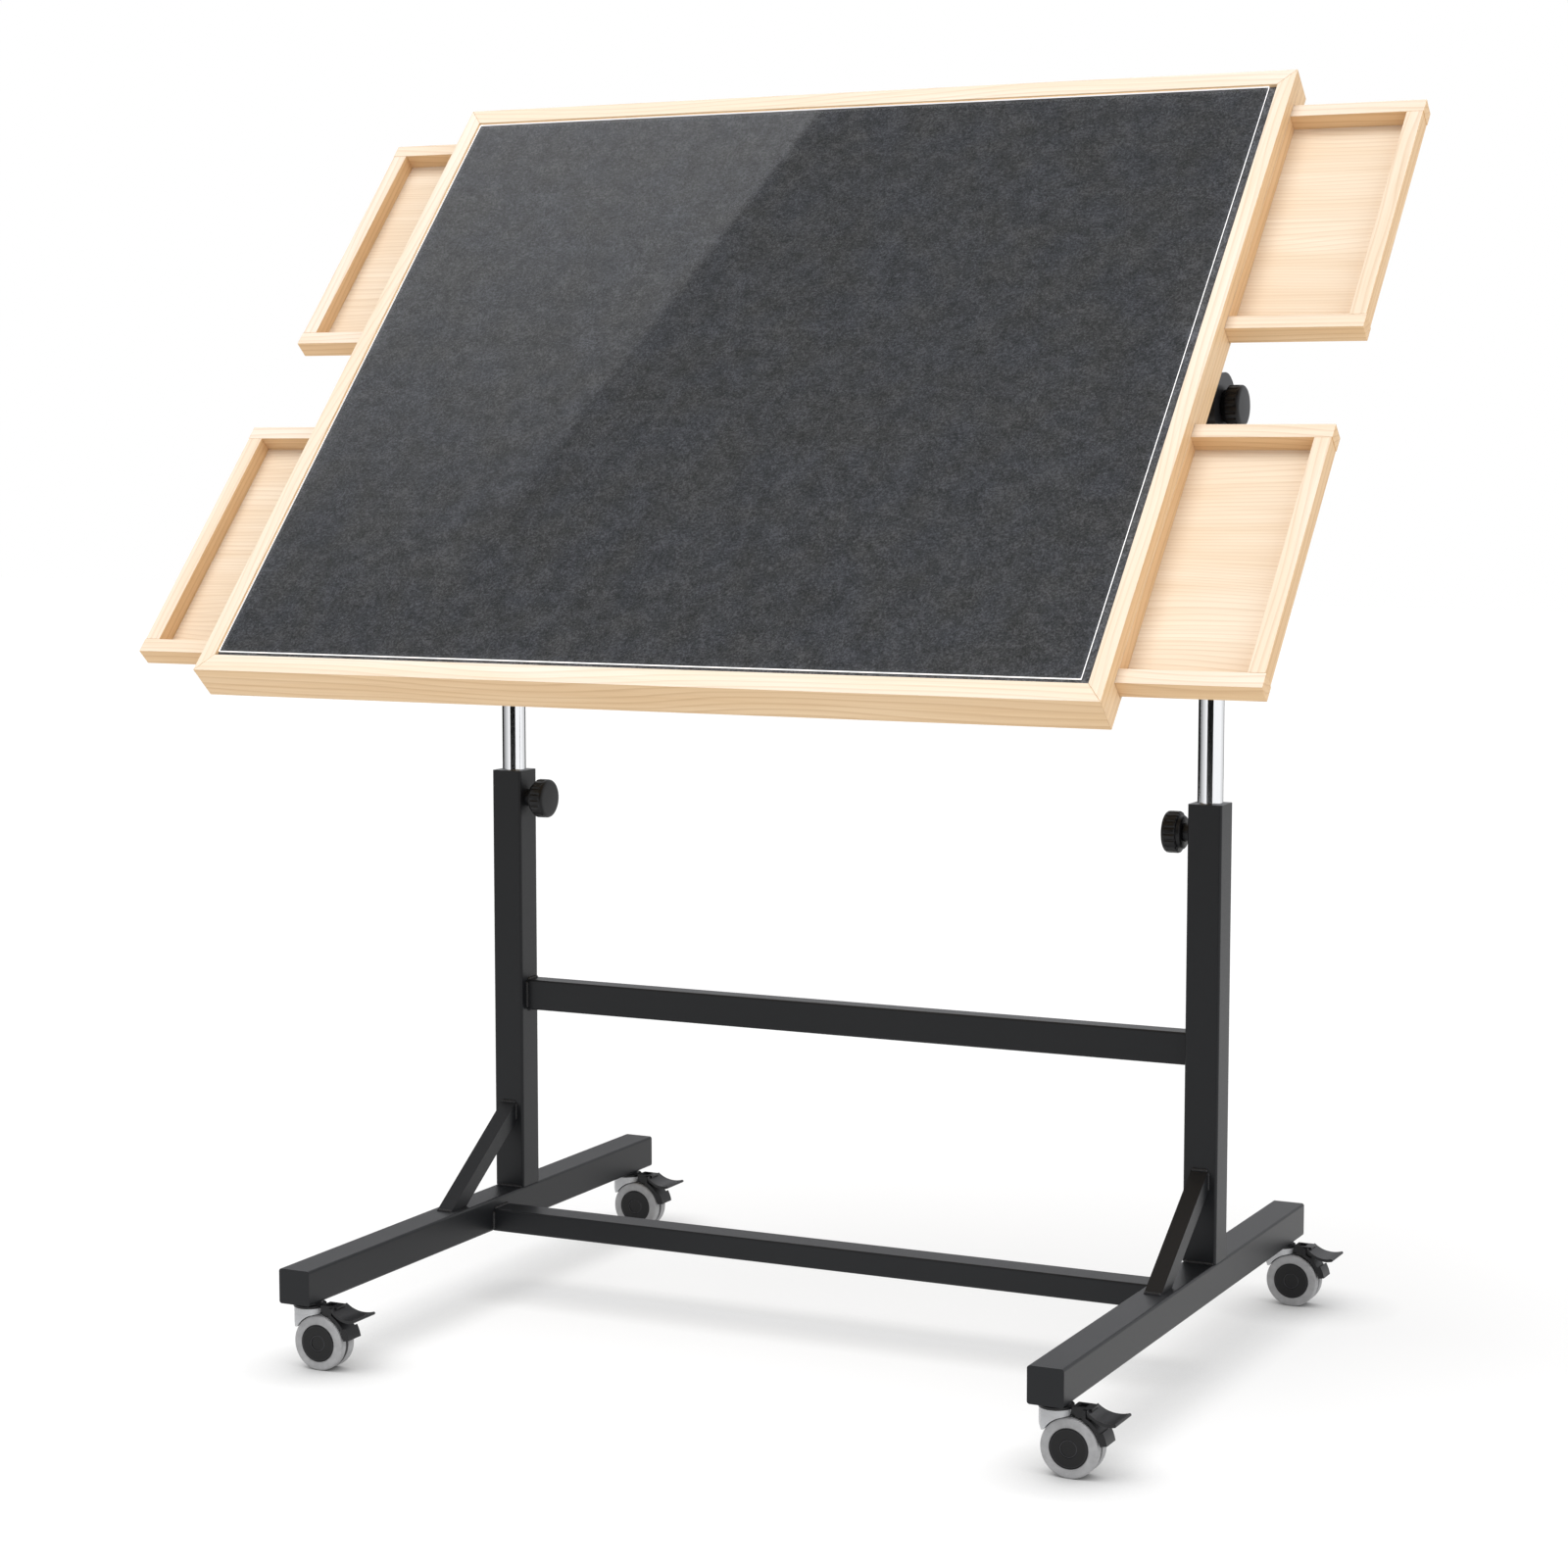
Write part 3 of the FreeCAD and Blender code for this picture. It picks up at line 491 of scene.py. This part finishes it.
def skin(build, rings):
    """Joins rings that have equally many corners into one closed body."""
    for low, high in zip(rings, rings[1:]):
        for i in range(len(low)):
            j = (i + 1) % len(low)
            build.faces.new((low[i], low[j], high[j], high[i]))
    build.faces.new(list(reversed(rings[0])))
    build.faces.new(rings[-1])


def turned(name, stations, corners, sharp_angle, material, base, direction, body, replaced=()):
    """A turned piece, fluted where its stations say so, that stands on its base along a direction."""
    build = bmesh.new()
    rings = []
    for height, radius, depth in stations:
        ring = []
        for i in range(corners):
            turn = 2 * math.pi * i / corners
            hollow = max(0.0, math.cos(FLUTES * turn)) ** FLUTE_POWER
            r = (radius - depth * hollow) / 1000
            ring.append(build.verts.new((r * math.cos(turn), r * math.sin(turn), height / 1000)))
        rings.append(ring)
    skin(build, rings)
    turn = Vector((0, 0, 1)).rotation_difference(Vector(direction)).to_matrix().to_4x4()
    piece = add_mesh(name, build, material, Matrix.Translation(base) @ turn, body, replaced)
    smooth(piece, sharp_angle)


def grip(name, base, direction, body):
    """A fluted knob that takes the place of its plain CAD piece."""
    turned(name, KNOB_PROFILE, KNOB_CORNERS, KNOB_SHARP_ANGLE, knob_plastic, base, direction, body,
           [body])


def stud_stations(length):
    """The stations of a threaded stud, from its chamfered tip on."""
    stations = [(0.0, STUD_TIP_RADIUS, 0), (STUD_CHAMFER, THREAD_RADIUS, 0)]
    place = STUD_CHAMFER
    while place + THREAD_PITCH < length:
        stations.append((place + THREAD_FALL, THREAD_ROOT, 0))
        stations.append((place + THREAD_PITCH, THREAD_RADIUS, 0))
        place += THREAD_PITCH
    stations.append((length, THREAD_RADIUS, 0))
    return stations


for side in SIDES:
    out = -1 if side == "left" else 1
    low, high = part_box(side + "_tilt_knob")
    start = high.x if out < 0 else low.x
    middle = (low + high) / 2
    grip(side + "_tilt_grip", (start, middle.y, middle.z), (out, 0, 0), side + "_tilt_knob")
    low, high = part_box(side + "_height_knob")
    middle = (low + high) / 2
    face = low.x if out > 0 else high.x
    start = face + out * GRIP_LENGTH / 1000
    grip(side + "_height_grip", (start, middle.y, middle.z), (-out, 0, 0), side + "_height_knob")
    length = high.x - low.x
    tip = (face + out * length, middle.y, middle.z)
    stations = stud_stations(length * 1000 - GRIP_LENGTH)
    turned(side + "_height_stud", stations, STUD_CORNERS, STUD_SHARP_ANGLE, zinc, tip, (-out, 0, 0),
           side + "_height_knob")


# Weld beads: rippled seams where the tubes of the stand meet, in metres

BEAD_RADIUS = 0.0019
THIN_BEAD_RADIUS = 0.0015
BEAD_INSET = 0.002
BEAD_STEP = 0.0005
BEAD_LEAST_STEPS = 6
BEAD_CORNERS = 10
BEAD_SHARP_ANGLE = 60
RIPPLE_SHARE = 0.14
RIPPLE_PITCH = 0.0021
WAVER_SHARE = 0.05
WAVER_RATE = 900
END_SHARE = 0.35
END_LENGTH = 0.002
BRACE_SEAM_LOW = 0.018
BRACE_SEAM_HIGH = 0.001


def bead(name, start, end, radius=BEAD_RADIUS):
    """A weld seam between two places, thinner at its ends."""
    start = Vector(start)
    run = Vector(end) - start
    steps = max(BEAD_LEAST_STEPS, int(run.length / BEAD_STEP))
    axes = Vector((0, 0, 1)).rotation_difference(run).to_matrix()
    build = bmesh.new()
    rings = []
    for i in range(steps + 1):
        share = i / steps
        passed = share * run.length
        ripple = 1 + RIPPLE_SHARE * math.cos(2 * math.pi * passed / RIPPLE_PITCH)
        ripple += WAVER_SHARE * math.sin(passed * WAVER_RATE)
        taper = min(1.0, END_SHARE + min(share, 1 - share) * run.length / END_LENGTH)
        ring = []
        for k in range(BEAD_CORNERS):
            turn = 2 * math.pi * k / BEAD_CORNERS
            offset = axes @ Vector((math.cos(turn), math.sin(turn), 0)) * (radius * ripple * taper)
            ring.append(build.verts.new(start + run * share + offset))
        rings.append(ring)
    skin(build, rings)
    piece = add_mesh(name, build, weld_steel, Matrix.Identity(4), "stand")
    smooth(piece, BEAD_SHARP_ANGLE)


for side in SIDES:
    left = side == "left"
    foot_low, foot_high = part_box(side + "_foot_tube")
    post_low, post_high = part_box(side + "_post")
    for where, y in (("front", post_low.y), ("back", post_high.y)):
        bead(f"weld_{side}_post_{where}", (post_low.x + BEAD_INSET, y, foot_high.z),
             (post_high.x - BEAD_INSET, y, foot_high.z))
    low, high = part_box(side + "_brace")
    bead(f"weld_{side}_brace_top", (low.x, high.y, high.z), high)
    bead(f"weld_{side}_brace_low", low, (high.x, low.y, low.z))
    for where, x in (("inner", low.x), ("outer", high.x)):
        bead(f"weld_{side}_brace_{where}", (x, high.y, high.z - BRACE_SEAM_LOW),
             (x, high.y, high.z - BRACE_SEAM_HIGH), THIN_BEAD_RADIUS)
    for bar, wall in (("upper_crossbar", post_high.x if left else post_low.x),
                      ("lower_crossbar", foot_high.x if left else foot_low.x)):
        low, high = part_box(bar)
        for where, z in (("over", high.z), ("under", low.z)):
            if bar == "upper_crossbar" or where == "over":
                bead(f"weld_{side}_{bar}_{where}", (wall, low.y + BEAD_INSET, z),
                     (wall, high.y - BEAD_INSET, z))
        for where, y in (("front", low.y), ("rear", high.y)):
            bead(f"weld_{side}_{bar}_{where}", (wall, y, low.z + BEAD_INSET), (wall, y, high.z - BEAD_INSET))


# Materials and softened edges for the pieces that stay as they are in the model


MERGE_DISTANCE = 0.00001
BEVEL_ANGLE = 35
FLAT_WEIGHT = 100


def dress(node, material, edge=0.0):
    """Gives a piece its material and, where asked, rounds its sharp edges a little."""
    piece = frame["nodes"][node]
    piece.data.materials.clear()
    piece.data.materials.append(material)
    if edge:
        piece.modifiers.new("weld", "WELD").merge_threshold = MERGE_DISTANCE
        bevel = piece.modifiers.new("edge", "BEVEL")
        bevel.width = edge
        bevel.segments = 2
        bevel.limit_method = "ANGLE"
        bevel.angle_limit = math.radians(BEVEL_ANGLE)
        piece.modifiers.new("flat", "WEIGHTED_NORMAL").weight = FLAT_WEIGHT
    return piece


for side in SIDES:
    for part in ("foot_tube", "post", "brace", "tilt_bracket"):
        dress(f"{side}_{part}", black_steel)
    dress(side + "_riser_tube", chrome)
    dress(side + "_tilt_head", black_plastic)
for node in ("upper_crossbar", "lower_crossbar", "knob_bosses"):
    dress(node, black_steel)
for node in ("foot_end_caps", "post_guide_bushes"):
    dress(node, black_steel, CAP_EDGE)
dress("caster_swivel_caps", black_plastic, SWIVEL_CAP_EDGE)
for node in ("caster_stems", "bracket_screws", "pivot_bolts"):
    dress(node, zinc)
for node in ("top_panel", "bottom_panel", "drawer_guides", "mounting_blocks"):
    dress(node, inside_wood)
dress("felt_surface", grey_felt)
for side in SIDES:
    for end in ENDS:
        caster = f"{end}_{side}_caster"
        housing = dress(caster + "_housing", silver)
        housing.data.materials.append(black_plastic)
        housing.data.materials.append(tyre_rubber)
        axis = Vector(JOINTS[caster + "_swivel"]["pos_m"])
        for polygon in housing.data.polygons:
            centre = polygon.center - axis
            if centre.x > LUG_START:
                polygon.material_index = 1
            elif polygon.center.z < BLADE_TOP and abs(centre.y) < BLADE_HALF:
                polygon.material_index = 2
        dress(caster + "_tyres", tyre_rubber)
        dress(caster + "_hubs", hub_plastic)
        dress(caster + "_pedal", black_plastic, PEDAL_EDGE)


# Floor, light and camera, in metres and degrees

FLOOR_HALF = 14.0
# How far the floor's painted contact shadows reach, and how hard they darken its emission
FLOOR_SHADE_REACH = 0.08
FLOOR_SHADE_POWER = 1.3
FLOOR_GLOW = 0.78

# Upright cards: the compass angles that they span, and the heights of their foot and of the top at both ends
CARD_REACH = 4.4
FRONT_CARD = ((-101, -48), -0.4, (2.6, 2.6))
BACK_CARD = ((80, 172), 0.02, (0.46, 0.82))
LEFT_CARD = ((172, 262), -0.4, (1.2, 1.2))
RIGHT_CARD = ((20, 80), 0.02, (0.7, 0.7))

# Places along Y where a fading card is black, and where it has faded out
SIDE_FADE = (-0.50, 0.34)
LEFT_FADE = (0.6, -3.6)
RIGHT_FADE = (7.5, 1.5)

# Level cards overhead, which meet in a slanting line
CEILING = 2.6
LINE_START = (-0.04, 1.0)
LINE_END = (-2.07, -1.11)
OVER_RIGHT = 1.9
OVER_FRONT = -1.7
OVER_LEFT = -4.2

# The room's colour where it lights things, where they mirror it and where the camera sees it
ROOM_LIGHT = (0.62, 0.62, 0.625, 1)
ROOM_MIRRORED = (0.885, 0.89, 0.915, 1)
ROOM_SEEN = (1, 1, 1, 1)

CAMERA_PLACE = (1.3554, -2.7466, 0.8285)
CAMERA_DROP = 5.82
CAMERA_TURN = 25.88
CAMERA_REACH = 60.0
LENS_MILLIMETRES = 75.85
SENSOR_MILLIMETRES = 36.0

floor = bmesh.new()
bmesh.ops.create_grid(floor, x_segments=1, y_segments=1, size=FLOOR_HALF)
floor_mesh = bpy.data.meshes.new("studio_floor")
floor.to_mesh(floor_mesh)
floor.free()
floor_piece = bpy.data.objects.new("studio_floor", floor_mesh)
scene.collection.objects.link(floor_piece)
paper = Shader("studio_paper")
# The floor glows evenly, with painted contact shadows where ambient occlusion finds things close by
painted_contact_shadow = paper.node("ShaderNodeAmbientOcclusion", {"Distance": FLOOR_SHADE_REACH}, samples=12).outputs["AO"]
glow_under_painted_shadow = paper.maths("MULTIPLY", paper.maths("POWER", painted_contact_shadow, FLOOR_SHADE_POWER), FLOOR_GLOW)
greys = paper.ramp(paper.noise(paper.place, 3.0, 2), [(0.2, scaled(WHITE, 0.20)), (0.8, scaled(WHITE, 0.21))])
paper.put(base_color=greys, roughness=0.9, specular_ior_level=0.0, emission_color=WHITE,
          emission_strength=glow_under_painted_shadow)
floor_mesh.materials.append(paper.material)


def sun(name, direction, strength, spread):
    """A wide soft light that comes from the given direction and isn't itself mirrored."""
    data = bpy.data.lights.new(name, "SUN")
    data.energy = strength
    data.angle = math.radians(spread)
    lamp = bpy.data.objects.new(name, data)
    lamp.rotation_euler = Vector(direction).to_track_quat("Z", "Y").to_euler()
    lamp.visible_glossy = False
    scene.collection.objects.link(lamp)


def card(name, corners, material):
    """A studio card that only mirroring surfaces see."""
    build = bmesh.new()
    build.faces.new([build.verts.new(corner) for corner in corners])
    mesh = bpy.data.meshes.new(name)
    build.to_mesh(mesh)
    build.free()
    mesh.materials.append(material)
    made = bpy.data.objects.new(name, mesh)
    scene.collection.objects.link(made)
    for kind in ("camera", "diffuse", "transmission", "volume_scatter", "shadow"):
        setattr(made, "visible_" + kind, False)


def upright(azimuths, low, tops):
    """The corners of an upright card that spans two compass angles as seen from the table.

    Its foot is level, and its top has a height at each end."""
    angles = [math.radians(azimuth) for azimuth in azimuths]
    ends = [(CARD_REACH * math.cos(angle), CARD_REACH * math.sin(angle)) for angle in angles]
    return [(*ends[0], low), (*ends[1], low), (*ends[1], tops[1]), (*ends[0], tops[0])]


def card_paint(name, fade=None):
    """Black card, or one that fades out towards +Y between two places."""
    s = Shader(name)
    s.put(base_color=(0.006, 0.006, 0.006), roughness=0.9, specular_ior_level=0.0)
    if fade:
        along = s.node("ShaderNodeSeparateXYZ", {0: s.place}).outputs[1]
        inputs = {"Value": along, "From Min": fade[0], "From Max": fade[1], "To Min": 1.0, "To Max": 0.0}
        s.put(alpha=s.node("ShaderNodeMapRange", inputs).outputs["Result"])
    return s.material


black_card = card_paint("card_black")
fading_card = card_paint("card_fading", SIDE_FADE)
left_paint = card_paint("card_fading_left", LEFT_FADE)
right_paint = card_paint("card_fading_right", RIGHT_FADE)
card("card_front", upright(*FRONT_CARD), black_card)
card("card_back", upright(*BACK_CARD), black_card)
card("card_left", upright(*LEFT_CARD), left_paint)
card("card_right", upright(*RIGHT_CARD), right_paint)

# The slanting line is the edge of the bright patch that the clear cover mirrors.
over = [LINE_START, (OVER_RIGHT, LINE_START[1]), (OVER_RIGHT, OVER_FRONT), (LINE_END[0], OVER_FRONT), LINE_END]
beside = [LINE_START, LINE_END, (OVER_LEFT, LINE_END[1]), (OVER_LEFT, LINE_START[1])]
card("card_over", [(*corner, CEILING) for corner in over], black_card)
card("card_side", [(*corner, CEILING) for corner in beside], fading_card)

sun("key", direction=(-0.20, -0.30, 0.93), strength=2.35, spread=42)
sun("fill", direction=(0.85, -0.30, 0.30), strength=0.95, spread=60)

world = bpy.data.worlds.new("white_studio")
scene.world = world
world.use_nodes = True
sky = world.node_tree
path = sky.nodes.new("ShaderNodeLightPath")
colour = None
for ray, tone in (("Is Glossy Ray", ROOM_MIRRORED), ("Is Camera Ray", ROOM_SEEN)):
    shade = sky.nodes.new("ShaderNodeMix")
    shade.data_type = "RGBA"
    if colour is None:
        shade.inputs[FIRST_COLOUR].default_value = ROOM_LIGHT
    else:
        sky.links.new(colour, shade.inputs[FIRST_COLOUR])
    shade.inputs[SECOND_COLOUR].default_value = tone
    sky.links.new(path.outputs[ray], shade.inputs[0])
    colour = shade.outputs[MIXED_COLOUR]
sky.links.new(colour, sky.nodes["Background"].inputs["Color"])
sky.nodes["Background"].inputs["Strength"].default_value = 1.0
scene.view_settings.view_transform = "Standard"

lens = bpy.data.cameras.new("camera")
lens.sensor_width = SENSOR_MILLIMETRES
lens.lens = LENS_MILLIMETRES
lens.clip_end = CAMERA_REACH
camera = bpy.data.objects.new("camera", lens)
camera.location = CAMERA_PLACE
camera.rotation_euler = (math.radians(90 - CAMERA_DROP), 0, math.radians(CAMERA_TURN))
scene.collection.objects.link(camera)
scene.camera = camera

bpy.context.view_layer.update()
